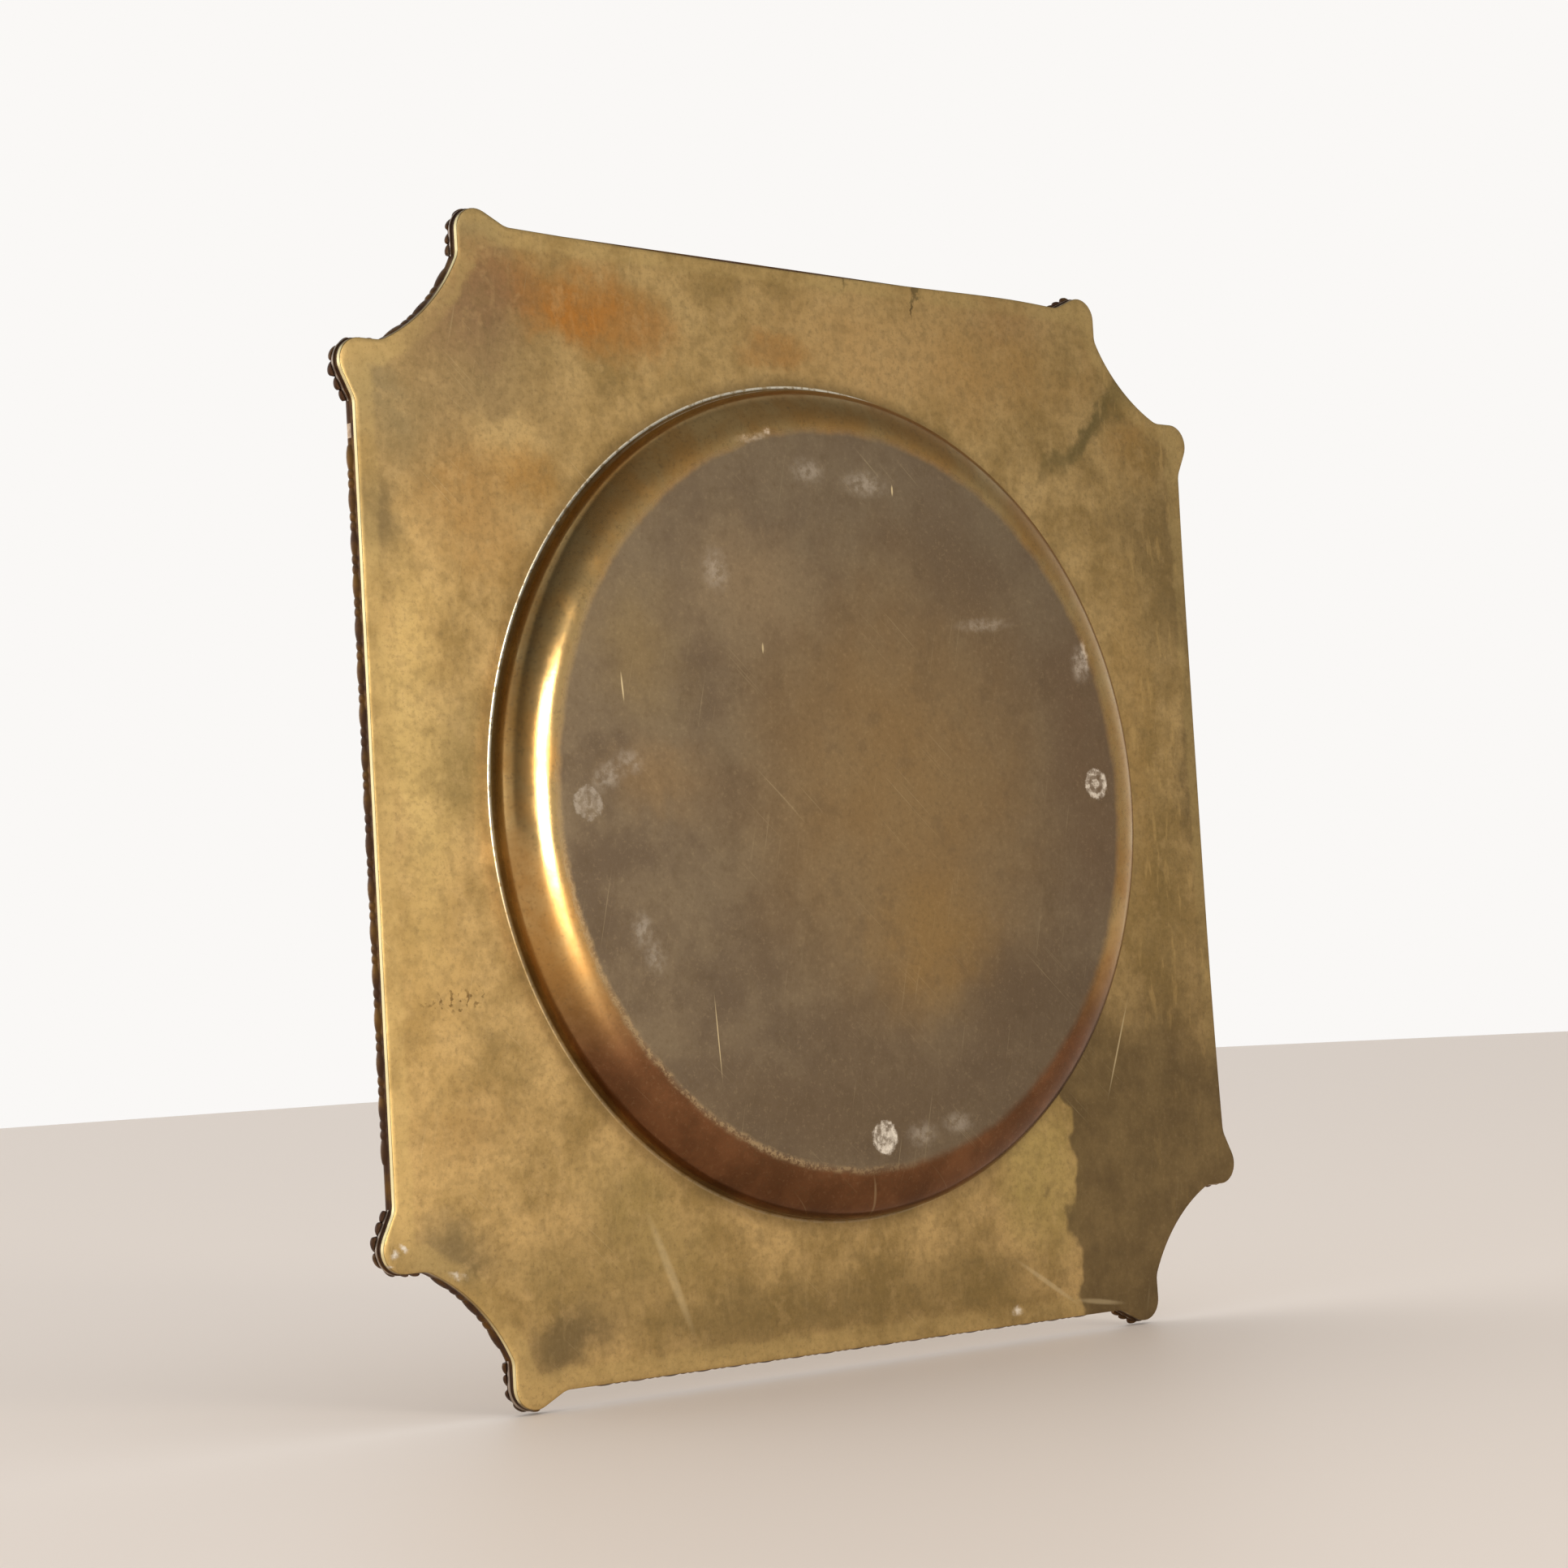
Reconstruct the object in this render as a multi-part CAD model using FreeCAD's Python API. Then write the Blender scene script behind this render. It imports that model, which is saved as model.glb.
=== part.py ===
import FreeCAD, Part
import math
import os

# Square brass plate with bitten corners, a round pressed well and a cast border on its front.
# Every piece is drawn lying face up, centred on the plate: the flange's back is z = 0, its front
# is z = sheet, and the well hangs below. At the end the plate is stood on its edge, front to -Y.

# Pressed sheet, in millimetres
sheet = 1.1                # brass sheet thickness
well_radius = 100.0        # outside of the well's wall
well_depth = 9.5           # flange back to the underside of the base
base_radius = 88.0         # edge of the flat base
foot_radius = 0.8          # tight bend where the wall leaves the flange
wall_height = 1.2          # upright part of the wall
shoulder_radius = 7.0      # bend above the wall; a larger arc leads on to the base
blend_ring = 6.0           # ring of flange drawn together with the well
edge_round = 0.4           # worn back edge of the flange
cusp_round = 1.5           # the soft inner corners beside each ear

# Outline, measured from the centre
side = 130.4               # to a straight side
ear_start = 87.8           # a straight side runs this far each way
ear_tip = 133.8            # outermost point of an ear
ear_radius = 5.3           # round end of an ear
bite_near = 101.3          # a corner bite ends at (near, far) and (far, near)
bite_far = 122.9
bite_radius = 43.6         # hollow arc of a corner bite

# Cast border strips
strip_width = 7.0
strip_height = 3.2
lip = 0.9                  # plain band of the casting next to the sheet
roll_bulge = 0.6           # how far the outer roll stands past the sheet
inner_fillet = 1.1         # height of the strip's inner edge
fillet_width = 0.8

# Cast shells on the ears
hinge_back = 5.5           # shell hinge behind the line between the ear's two corners
hinge_half = 2.6           # half the width of the hinge end
flute_count = 7
flute_half_angle = 8.6     # a little over half the spacing, so that neighbours merge
flute_tilt = 5.0           # flutes rise towards the hinge
flute_reach = (14.0, 13.3, 11.5, 10.6)   # from the hinge to the rim, middle flute outwards
pad_height = 1.0           # plain pad under the flutes
pad_extra = 0.8            # the pad runs up inside the flutes
boss_radius = 2.0

# Names as seen from the front, with +X to the right, in quarter turns from the top
side_names = ("top", "left", "bottom", "right")
corner_names = ("top_right", "top_left", "bottom_left", "bottom_right")
shell_names = (("top_right", "right_top"), ("left_top", "top_left"),
               ("bottom_left", "left_bottom"), ("right_bottom", "bottom_right"))


def point(x, y, z=0.0):
    return FreeCAD.Vector(x, y, z)


def swap(p):
    """Mirror a point across the corner's diagonal."""
    return point(p.y, p.x, p.z)


def turned(shape, quarter):
    copy = shape.copy()
    copy.rotate(point(0, 0), point(0, 0, 1), 90 * quarter)
    return copy


def prism(points, low, high):
    wire = Part.makePolygon([point(p.x, p.y, low) for p in points + points[:1]])
    return Part.Face(wire).extrude(point(0, 0, high - low))


# Corners of the ear beside the top right bite
ear_foot = point(ear_start, side)
bite_end = point(bite_near, bite_far)
ear_centre = point(bite_near - ear_radius, ear_tip - ear_radius)
foot_to_centre = ear_centre - ear_foot
ramp_angle = (math.atan2(foot_to_centre.y, foot_to_centre.x)
              + math.asin(ear_radius / foot_to_centre.Length))
ramp_length = math.sqrt(foot_to_centre.Length ** 2 - ear_radius ** 2)
ramp_end = ear_foot + point(math.cos(ramp_angle), math.sin(ramp_angle)) * ramp_length
ear_flank = point(bite_near, ear_centre.y)
ear_mid_angle = math.radians(90) + ramp_angle
ear_top = ear_centre + point(math.cos(ear_mid_angle / 2), math.sin(ear_mid_angle / 2)) * ear_radius

# Circle of the bite
half_chord = (bite_far - bite_near) / math.sqrt(2)
bite_middle = (bite_near + bite_far) / 2
bite_centre = bite_middle + math.sqrt((bite_radius ** 2 - half_chord ** 2) / 2)
bite_deep = bite_centre - bite_radius / math.sqrt(2)
bite_half_angle = math.degrees(math.asin(half_chord / bite_radius))

# Shell axis: square to the line between the ear's two inner corners
ear_chord = (bite_end - ear_foot).normalize()
shell_axis = point(-ear_chord.y, ear_chord.x)
hinge = (ear_foot + bite_end) * 0.5 - shell_axis * hinge_back
hinge_left = hinge - ear_chord * hinge_half
hinge_right = hinge + ear_chord * hinge_half


def outline():
    """The whole outer edge of the flange, corner by corner, as one closed wire."""
    edges = []
    for quarter in range(4):
        corner = [
            Part.LineSegment(point(-ear_start, side), ear_foot),
            Part.LineSegment(ear_foot, ramp_end),
            Part.Arc(ramp_end, ear_top, ear_flank),
            Part.LineSegment(ear_flank, bite_end),
            Part.Arc(bite_end, point(bite_deep, bite_deep), swap(bite_end)),
            Part.LineSegment(swap(bite_end), swap(ear_flank)),
            Part.Arc(swap(ear_flank), swap(ear_top), swap(ramp_end)),
            Part.LineSegment(swap(ramp_end), swap(ear_foot)),
        ]
        edges += [turned(curve.toShape(), quarter) for curve in corner]
    return Part.Wire(Part.__sortEdges__(edges))


def flange():
    body = Part.Face(outline()).extrude(point(0, 0, sheet))
    cusps = []
    for edge in body.Edges:
        middle = edge.CenterOfMass
        upright = abs(middle.z - sheet / 2) < 1e-6 and edge.Length < sheet + 1e-6
        for corner in (ear_foot, bite_end, swap(ear_foot), swap(bite_end)):
            near = math.hypot(abs(middle.x) - corner.x, abs(middle.y) - corner.y) < 1e-3
            if upright and near:
                cusps.append(edge)
    body = body.makeFillet(cusp_round, cusps)
    back_edges = [e for e in body.Edges if e.BoundBox.ZMax < 1e-3]
    body = body.makeFillet(edge_round, back_edges)
    hole = Part.makeCylinder(well_radius + blend_ring, 3 * sheet, point(0, 0, -sheet))
    return body.cut(hole)


def arc_about(centre, radius, start, end):
    """Arc edge in the section plane (x across, z up), between two angles in degrees."""
    stations = []
    for angle in (start, (start + end) / 2, end):
        turn = math.radians(angle)
        stations.append(centre + point(radius * math.cos(turn), 0, radius * math.sin(turn)))
    return Part.Arc(*stations).toShape()


def line(a, b):
    return Part.LineSegment(a, b).toShape()


def well():
    """Section of the well, wall and neighbouring flange, turned a full circle."""
    ring = well_radius + blend_ring
    shoulder = point(well_radius - shoulder_radius, 0, -wall_height)
    foot = point(well_radius + foot_radius, 0, -foot_radius)
    inner_wall = well_radius - sheet

    # The crown arc touches both the shoulder arc and the flat base.
    across = shoulder.x - base_radius
    drop = wall_height - well_depth
    crown_radius = (shoulder_radius ** 2 - across ** 2 - drop ** 2) / (2 * (drop + shoulder_radius))
    crown = point(base_radius, 0, crown_radius - well_depth)
    meet = math.degrees(math.atan2(shoulder.z - crown.z, across))
    section = [
        line(point(ring, 0, 0), point(foot.x, 0, 0)),
        arc_about(foot, foot_radius, 90, 180),
        line(point(well_radius, 0, -foot_radius), point(well_radius, 0, -wall_height)),
        arc_about(shoulder, shoulder_radius, 0, meet),
        arc_about(crown, crown_radius, meet, -90),
        line(point(base_radius, 0, -well_depth), point(0, 0, -well_depth)),
        line(point(0, 0, -well_depth), point(0, 0, sheet - well_depth)),
        line(point(0, 0, sheet - well_depth), point(base_radius, 0, sheet - well_depth)),
        arc_about(crown, crown_radius - sheet, -90, meet),
        arc_about(shoulder, shoulder_radius - sheet, meet, 0),
        line(point(inner_wall, 0, -wall_height), point(inner_wall, 0, -foot_radius)),
        arc_about(foot, foot_radius + sheet, 180, 90),
        line(point(foot.x, 0, sheet), point(ring, 0, sheet)),
        line(point(ring, 0, sheet), point(ring, 0, 0)),
    ]
    face = Part.Face(Part.Wire(section))
    return face.revolve(point(0, 0), point(0, 0, 1), 360)


def strip_section():
    """Section of the cast border: x is outward from the sheet's edge, z is height."""
    base = sheet
    top = sheet + strip_height
    corner = -strip_width + fillet_width
    cove_start = point(-strip_width * 0.2, 0, top)
    cove_end = point(corner, 0, base + inner_fillet)
    cove_deep = (cove_start + cove_end) * 0.5 - point(0.35, 0, 0.35)
    section = [
        line(point(-strip_width, 0, base), point(0, 0, base)),
        line(point(0, 0, base), point(0, 0, base + lip)),
        Part.Arc(point(0, 0, base + lip), point(roll_bulge, 0, base + strip_height * 0.62),
                 cove_start).toShape(),
        Part.Arc(cove_start, cove_deep, cove_end).toShape(),
        line(cove_end, point(-strip_width, 0, base + inner_fillet)),
        line(point(-strip_width, 0, base + inner_fillet), point(-strip_width, 0, base)),
    ]
    return Part.Face(Part.Wire(section))


def shell_footprint():
    """The space a shell takes up, open past the rim; strips are cut back to it."""
    left_far = hinge_left + (ear_foot - hinge_left) * 4
    right_far = hinge_right + (bite_end - hinge_right) * 4
    return prism([hinge_left, left_far, right_far, hinge_right], 0, 3 * strip_height)


def both_ears(shape):
    """A corner's two ears mirror each other across its diagonal."""
    return [shape, shape.mirror(point(0, 0), point(1, -1))]


def border_strip():
    face = strip_section()
    face.rotate(point(0, 0), point(0, 0, 1), 90)
    overrun = ear_start + strip_width
    face.translate(point(overrun, side))
    bar = face.extrude(point(-2 * overrun, 0))
    footprint = shell_footprint()
    return bar.cut([footprint, footprint.mirror(point(0, 0), point(1, 0))])


def corner_strip():
    face = strip_section()
    face.rotate(point(0, 0), point(0, 0, 1), 180)
    face.translate(point(bite_radius, 0))
    overrun = 8
    face.rotate(point(0, 0), point(0, 0, 1), 225 - bite_half_angle - overrun)
    face.translate(point(bite_centre, bite_centre))
    bar = face.revolve(point(bite_centre, bite_centre), point(0, 0, 1),
                       2 * (bite_half_angle + overrun))
    return bar.cut(both_ears(shell_footprint()))


def flute(turn, reach):
    """One half-round rib of a shell: a cone from the hinge, closed by a ball at the rim."""
    taper = math.sin(math.radians(flute_half_angle))
    ball_distance = reach / (1 + taper)
    direction = FreeCAD.Rotation(point(0, 0, 1), turn).multVec(shell_axis)
    rise = math.tan(math.radians(flute_tilt)) * ball_distance
    rim = hinge + direction * ball_distance + point(0, 0, sheet + pad_height)
    root = hinge + direction * hinge_half * 0.3 + point(0, 0, sheet + pad_height + rise)
    ball_radius = ball_distance * taper
    length = (rim - root).Length
    cone = Part.makeCone(ball_radius * 0.12, ball_radius, length, root, rim - root)
    return [cone, Part.makeSphere(ball_radius, rim)]


def shell():
    pad_edges = [
        line(hinge_left, ear_foot),
        line(ear_foot, ramp_end),
        Part.Arc(ramp_end, ear_top, ear_flank).toShape(),
        line(ear_flank, bite_end),
        line(bite_end, hinge_right),
        line(hinge_right, hinge_left),
    ]
    pad = Part.Face(Part.Wire(pad_edges)).extrude(point(0, 0, pad_height + pad_extra))
    pad.translate(point(0, 0, sheet))
    spacing = 2 * math.degrees(math.atan2((bite_end - ear_foot).Length / 2, hinge_back)) / flute_count
    middle = flute_count // 2
    ribs = []
    for index in range(flute_count):
        ribs += flute((index - middle) * spacing, flute_reach[abs(index - middle)])
    boss_place = hinge + shell_axis * hinge_half * 0.4 + point(0, 0, sheet + pad_height)
    ribs.append(Part.makeSphere(boss_radius, boss_place))
    fan = ribs[0].multiFuse(ribs[1:])
    below = Part.makeBox(60, 60, 10, point(70, 100, sheet + pad_height - 10))
    fan = fan.cut(below).common(shell_footprint())
    return pad.fuse(fan).removeSplitter()


def main():
    pieces = {"plate_body": flange().fuse(well()).removeSplitter()}
    strip = border_strip()
    corner = corner_strip()
    shells = both_ears(shell())
    for quarter in range(4):
        pieces["border_strip_" + side_names[quarter]] = turned(strip, quarter)
        pieces["corner_strip_" + corner_names[quarter]] = turned(corner, quarter)
        for shape, name in zip(shells, shell_names[quarter]):
            pieces["shell_" + name] = turned(shape, quarter)

    # Stand the plate on its edge, front to -Y, and put the origin under the middle of its box.
    for shape in pieces.values():
        shape.rotate(point(0, 0), point(1, 0, 0), 90)
    box = Part.makeCompound(list(pieces.values())).optimalBoundingBox(True, False)
    shift = point(0, -(box.YMin + box.YMax) / 2, -box.ZMin)
    os.makedirs("parts", exist_ok=True)
    for name, shape in pieces.items():
        shape.translate(shift)
        solid = shape.Solids[0]
        solid.exportStep("parts/" + name + ".step")
        print(name, "valid", shape.isValid(), "solids", len(shape.Solids),
              "volume", round(shape.Volume, 1))
    print("shift", [round(value, 3) for value in shift],
          "size", [round(value, 2) for value in (box.XLength, box.YLength, box.ZLength)])


main()
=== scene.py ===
import math

import bpy
import bmesh
from mathutils import Matrix, Vector


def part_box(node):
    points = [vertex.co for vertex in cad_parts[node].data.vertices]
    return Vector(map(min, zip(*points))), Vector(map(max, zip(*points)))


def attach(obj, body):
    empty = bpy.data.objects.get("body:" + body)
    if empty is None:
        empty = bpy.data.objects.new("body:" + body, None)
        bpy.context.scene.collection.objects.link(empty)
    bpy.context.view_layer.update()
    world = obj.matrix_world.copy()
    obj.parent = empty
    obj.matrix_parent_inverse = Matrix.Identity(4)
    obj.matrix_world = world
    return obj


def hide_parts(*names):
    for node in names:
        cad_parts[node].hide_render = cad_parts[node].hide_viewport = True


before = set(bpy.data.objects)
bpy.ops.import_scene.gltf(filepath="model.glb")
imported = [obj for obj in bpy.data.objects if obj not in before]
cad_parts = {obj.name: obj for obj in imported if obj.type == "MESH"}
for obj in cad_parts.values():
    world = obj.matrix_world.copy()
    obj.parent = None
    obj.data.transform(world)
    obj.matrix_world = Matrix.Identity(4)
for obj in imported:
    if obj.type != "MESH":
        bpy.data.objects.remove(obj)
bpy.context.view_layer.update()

mm = 0.001

# The plate is worked on as it would lie on a bench, face up: x right, y up the plate, z = 0 at the
# back of the flange. standUp then puts a piece on the standing plate, front to -Y.
plate = {
    "sheet": 1.1,              # thickness of the pressed sheet
    "side": 130.4,             # centre to a straight side
    "earStart": 87.8,          # where a straight side ends
    "earTip": 133.8,
    "earRadius": 5.3,
    "biteNear": 101.3,
    "biteFar": 122.9,
    "biteRadius": 43.6,
    "wellRadius": 100.0,
    "baseRadius": 88.0,
    "wellDepth": 9.5,
}
plateLow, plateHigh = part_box("plate_body")
backY = plateLow.y + plate["sheet"] * mm
centreZ = (plateLow.z + plateHigh.z) / 2
sideNames = ("top", "left", "bottom", "right")
cornerNames = ("top_right", "top_left", "bottom_left", "bottom_right")
shellNames = (("top_right", "right_top"), ("left_top", "top_left"),
              ("bottom_left", "left_bottom"), ("right_bottom", "bottom_right"))
faceHeight = plate["sheet"] * mm

# Corner geometry on the bench, in metres: the ear beside the top right bite
earFoot = Vector((plate["earStart"], plate["side"], 0)) * mm
biteEnd = Vector((plate["biteNear"], plate["biteFar"], 0)) * mm
earCentre = Vector((plate["biteNear"] - plate["earRadius"], plate["earTip"] - plate["earRadius"], 0)) * mm
earRadius = plate["earRadius"] * mm
toCentre = earCentre - earFoot
rampAngle = math.atan2(toCentre.y, toCentre.x) + math.asin(earRadius / toCentre.length)
rampLength = math.sqrt(toCentre.length ** 2 - earRadius ** 2)
rampEnd = earFoot + Vector((math.cos(rampAngle), math.sin(rampAngle), 0)) * rampLength
earFlank = Vector((biteEnd.x, earCentre.y, 0))
biteRadius = plate["biteRadius"] * mm
halfChord = (biteEnd.y - biteEnd.x) / math.sqrt(2)
biteCentre = (biteEnd.x + biteEnd.y) / 2 + math.sqrt((biteRadius ** 2 - halfChord ** 2) / 2)
biteDeep = biteCentre - biteRadius / math.sqrt(2)
biteHalfAngle = math.asin(halfChord / biteRadius)
earChord = (biteEnd - earFoot).normalized()
shellAxis = Vector((-earChord.y, earChord.x, 0))


# Colour and node helpers

def hexColour(text):
    # sRGB hex to the linear colour that shaders use
    channels = [int(text[i:i + 2], 16) / 255 for i in (0, 2, 4)]
    linear = [c / 12.92 if c <= 0.04045 else ((c + 0.055) / 1.055) ** 2.4 for c in channels]
    return (*linear, 1.0)


# kinds of node that are set the same way everywhere here
usualSettings = {"MapRange": {"interpolation_type": "SMOOTHSTEP"}, "Mix": {"data_type": "RGBA"}}


def addNode(tree, kind, *inputs, **named):
    # kind is the node's type and, after a point, its operation. The inputs are numbers, hex colours
    # or other nodes, in the node's own order, and the rest are given by name
    kind, _, operation = kind.partition(".")
    node = tree.nodes.new("ShaderNode" + kind)
    for name, value in usualSettings.get(kind, {}).items():
        setattr(node, name, value)
    if operation:
        node.operation = operation
    free = [socket for socket in node.inputs if socket.enabled]
    for socket, value in [*zip(free, inputs), *((node.inputs[name], value) for name, value in named.items())]:
        if isinstance(value, bpy.types.Node):
            value = next(output for output in value.outputs if output.enabled)
        if isinstance(value, bpy.types.NodeSocket):
            tree.links.new(value, socket)
        else:
            socket.default_value = hexColour(value) if isinstance(value, str) else value
    return node


def newMaterial(name):
    material = bpy.data.materials.new(name)
    material.use_nodes = True
    material.node_tree.nodes.clear()
    return material, material.node_tree


def platePosition(tree):
    # millimetres from the middle of the plate: x, depth behind the flange, height
    place = addNode(tree, "TexCoord").outputs["Object"]
    return addNode(tree, "Mapping", place, Scale=(1000, 1000, 1000),
                   Location=(0, -backY * 1000, -centreZ * 1000))


def noise(tree, position, size, detail=3.0, roughness=0.55, stretch=(1, 1, 1), shift=(0, 0, 0)):
    # size is the grain in millimetres
    mapped = addNode(tree, "Mapping", position, Scale=[share / size for share in stretch], Location=shift)
    return addNode(tree, "TexNoise", mapped, Scale=1.0, Detail=detail, Roughness=roughness)


def patch(tree, position, centre, size, soft=0.6, turn=0.0):
    # an oval patch on the plate: 1 inside, 0 outside; sizes in millimetres, soft is the faded share
    cosine, sine = math.cos(math.radians(turn)), math.sin(math.radians(turn))
    away = addNode(tree, "VectorMath.SUBTRACT", position, (centre[0], 0, centre[1]))
    across = addNode(tree, "Math.DIVIDE", addNode(tree, "VectorMath.DOT_PRODUCT", away, (cosine, 0, -sine)),
                     size[0])
    along = addNode(tree, "Math.DIVIDE", addNode(tree, "VectorMath.DOT_PRODUCT", away, (sine, 0, cosine)),
                    size[1])
    squares = addNode(tree, "Math.MULTIPLY_ADD", across, across,
                      addNode(tree, "Math.MULTIPLY", along, along))
    return addNode(tree, "MapRange", addNode(tree, "Math.SQRT", squares), 1 - soft, 1 + soft * 0.5, 1, 0)


def pushed(tree, place, cloud, width):
    # the place moved about within the plate's plane, so that what is drawn there has a ragged outline
    shove = addNode(tree, "VectorMath.MULTIPLY_ADD", cloud.outputs["Color"], (width, 0, width),
                    (-width / 2, 0, -width / 2))
    return addNode(tree, "VectorMath.ADD", place, shove)


# Sheet brass, pressed and polished long ago, then left to tone: golden where it was handled,
# olive, grey and orange clouds of patina, a scuffed brown base where it has slid on tables.
# Some light and shade is painted into the colour as well: painted shade at the foot of the
# well's wall and down the -X side, a painted highlight in the crease round the well and on
# the cut edge, and a painted reflection of a brown table on the crown's lower half
sheetLook = {
    # the two edge colours are the sheet's cut edge as a painted highlight and as painted shade
    "pale": "C6A46C", "deep": "957A4B", "band": "BFA268", "edgeHighlight": "F8E9B4", "edgeShade": "A58C58",
    # crown tones next, then a painted reflection of a brown table for the crown's lower half in two tones,
    # and the painted highlight for the crease round the foot of the well
    "crown": "B98C50", "tableReflection": "82583A", "tableReflectionDark": "67452C", "foot": "FFF4DC",
    "base": "7E6D56", "baseDark": "6B5B49",
    "front": "D3B06E", "frontDeep": "BA9758", "frontDull": "96783F",
    "bandWidth": 4.6,          # lighter band along the whole edge
    "residue": "CFC4B4", "scratch": "DCC69A",
    "waveHeight": 0.10,        # slow waves left by the press
    "waveSize": 16, "grainSize": 0.9, "grainHeight": 0.005,
    "mottleSize": 17, "blotchSize": 7, "speckleSize": 1.1, "wipeSize": 3.0, "dustSize": 2.4,
    "tideLine": (-70, -68.5),  # the dark corner begins here and ends upwards over tideTop
    "tideTop": (-75, -30),
}

# patches on the back: place (x, height), half size, colour, strength, softness, turn
flangeClouds = [
    ((104, 98), (34, 32), "937A54", 0.80, 0.8, 40),
    ((126, 88), (8, 8), "8E7E5C", 0.7, 0.8, 0),
    ((96, 126), (9, 8), "8E7E5C", 0.7, 0.8, 0),
    ((76, 116), (30, 11), "A8743A", 0.70, 0.8, -8),
    ((70, 114), (18, 7), "AC6E2C", 0.62, 0.8, 8),
    ((50, 108), (14, 7), "A97238", 0.55, 0.9, 0),
    ((96, 112), (18, 12), "85664A", 0.70, 0.8, 30),
    ((122, 84), (12, 9), "8E7852", 0.60, 0.8, 0),
    ((92, 82), (13, 8), "D0AE74", 0.60, 0.6, 0),
    ((101, 64), (15, 18), "A9804A", 0.60, 0.9, 20),
    ((86, 73), (12, 7), "A87838", 0.50, 0.9, -30),
    ((126, 62), (7, 14), "746243", 0.80, 0.8, 0),
    ((118, 38), (10, 10), "CBA86A", 0.45, 0.8, 0),
    ((106, 8), (9, 20), "8C784C", 0.60, 0.8, 0),
    ((122, -12), (8, 8), "94794C", 0.45, 0.8, 0),
    ((118, -40), (12, 32), "B5935A", 0.45, 0.8, 0),
    ((120, 8), (9, 42), "CDB072", 0.55, 0.8, 0),
    ((110, -72), (16, 10), "A58352", 0.50, 0.9, 0),
    ((117, -98), (15, 7), "6A5C42", 0.70, 0.8, 0),
    ((94, -104), (9, 8), "9A8254", 0.40, 0.8, 0),
    ((84, -118), (16, 8), "66563C", 0.80, 0.8, 15),
    ((70, -104), (26, 12), "927A4C", 0.60, 0.9, 0),
    ((64, -94), (22, 11), "A08854", 0.50, 0.8, -30),
    ((45, -120), (20, 9), "7F6A42", 0.65, 0.8, 0),
    ((10, -120), (40, 10), "7C663E", 0.70, 0.8, 0),
    ((-35, -118), (20, 9), "7F693F", 0.60, 0.8, 0),
    ((-62, -92), (13, 22), "B39B5C", 0.65, 0.8, 10),
    # the darker brown patches down the -X side are painted shade for that side as well as patina
    ((-112, -25), (16, 38), "816A3F", 0.65, 0.9, 0),
    ((-120, 62), (12, 34), "7F6840", 0.75, 0.9, 0),
    ((-106, 20), (6, 46), "AC8A54", 0.55, 0.8, 0),
    ((-128, 10), (5, 80), "6E5B3B", 0.75, 0.8, 0),
    ((-98, 100), (26, 3.6), "685B36", 0.80, 0.7, 40),
    ((-111, 108), (14, 3.4), "71623C", 0.70, 0.7, 44),
    ((-94, 112), (12, 4), "B3905A", 0.50, 0.8, 40),
    ((-112, 96), (12, 4), "AC8856", 0.50, 0.8, 40),
    ((-112, 74), (12, 10), "8D7348", 0.60, 0.9, 0),
    ((-28, 112), (46, 16), "C49E68", 0.70, 0.9, 0),
    ((-70, 122), (16, 7), "AC865A", 0.50, 0.9, 0),
    ((10, 108), (12, 4), "A8743A", 0.50, 0.8, 0),
    ((-64, 110), (24, 14), "AC8650", 0.60, 0.9, 0),
    ((-112, 96), (12, 12), "A07C44", 0.50, 0.9, 0),
    ((-12, 129), (0.9, 5), "4E4028", 0.85, 0.5, 0),
    ((-37.5, 128), (0.9, 6), "4E4028", 0.85, 0.5, 4),
]
baseClouds = [
    ((-16, 2), (52, 56), "96774A", 0.60, 0.9, 0),
    ((-20, -35), (22, 18), "9A763F", 0.45, 0.9, 0),
    ((64, 34), (15, 17), "917A52", 0.50, 0.9, 0),
    ((60, 4), (16, 10), "8E7350", 0.60, 0.9, 0),
    ((30, 50), (22, 16), "937D5F", 0.60, 0.9, 0),
    ((-80, 10), (16, 44), "705A44", 0.70, 0.9, 0),
    ((-52, -52), (24, 16), "655340", 0.70, 0.9, 0),
    ((6, -72), (60, 14), "6A5844", 0.70, 0.9, 0),
    ((0, 76), (52, 12), "7C6C56", 0.60, 0.9, 0),
    ((-40, 60), (20, 12), "6E5C47", 0.60, 0.9, 0),
]
# smudges and dried drops: place, half size, strength, turn
smudges = [
    ((74, 5), (5.5, 3), 0.28, 30), ((68, 8), (4, 2.5), 0.24, -20), ((40, 53), (4, 5), 0.22, 0),
    ((-78, 34), (3, 4.5), 0.35, 0), ((-80, 36), (1.2, 4.5), 0.55, 5), ((-45, 43), (9, 1.6), 0.25, 4),
    ((67, -30), (3, 4), 0.26, 0), ((64, -36), (3, 4), 0.22, 20), ((-14, -81), (5, 3), 0.22, 0),
    ((-26, -79), (5, 2.5), 0.22, 0), ((-8, 76), (7, 3), 0.25, 0), ((10, 78), (5, 3), 0.22, 0),
    ((131, -97), (1.0, 0.8), 1.0, 30), ((128.6, -95.8), (1.3, 0.5), 1.0, -35),
    ((132.4, -99.5), (0.9, 0.4), 0.9, 0), ((115, -103), (2.2, 0.8), 0.7, -20),
    ((-51, -127), (1.8, 1.2), 0.8, 0), ((27, 85), (5, 1), 0.3, 10), ((22, 87), (1.2, 1.0), 0.7, 0),
]
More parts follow.
